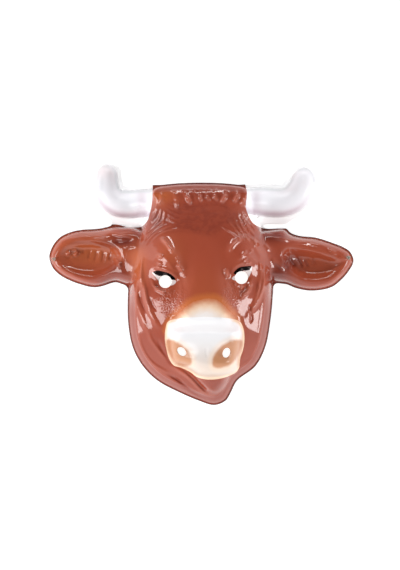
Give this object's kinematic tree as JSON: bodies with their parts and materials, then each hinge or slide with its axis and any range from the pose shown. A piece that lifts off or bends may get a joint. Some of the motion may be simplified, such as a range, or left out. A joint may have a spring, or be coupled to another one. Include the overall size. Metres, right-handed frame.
{
  "type": "formed plastic bull mask",
  "caption": "Thin formed plastic mask of a bull's face with ears, horns, eye holes, nostril holes and an elastic cord between the ear tips.",
  "frame": {"origin": "under the middle of the mask's outline box, on the surface that its flat rim lies on", "axes": "+Z out of the face, +Y towards the horns, +X to the right for someone who looks at the face"},
  "size_m": [0.2814, 0.228, 0.0888],
  "materials": {
    "painted_sheet": "glossy sprayed paint, reddish brown with white horns and a white muzzle",
    "elastic": "covered round elastic, matt"
  },
  "bodies": {
    "root": {"mask_shell": "painted_sheet", "elastic_cord": "elastic", "cord_knot_left": "elastic", "cord_knot_right": "elastic"}
  },
  "joints": []
}
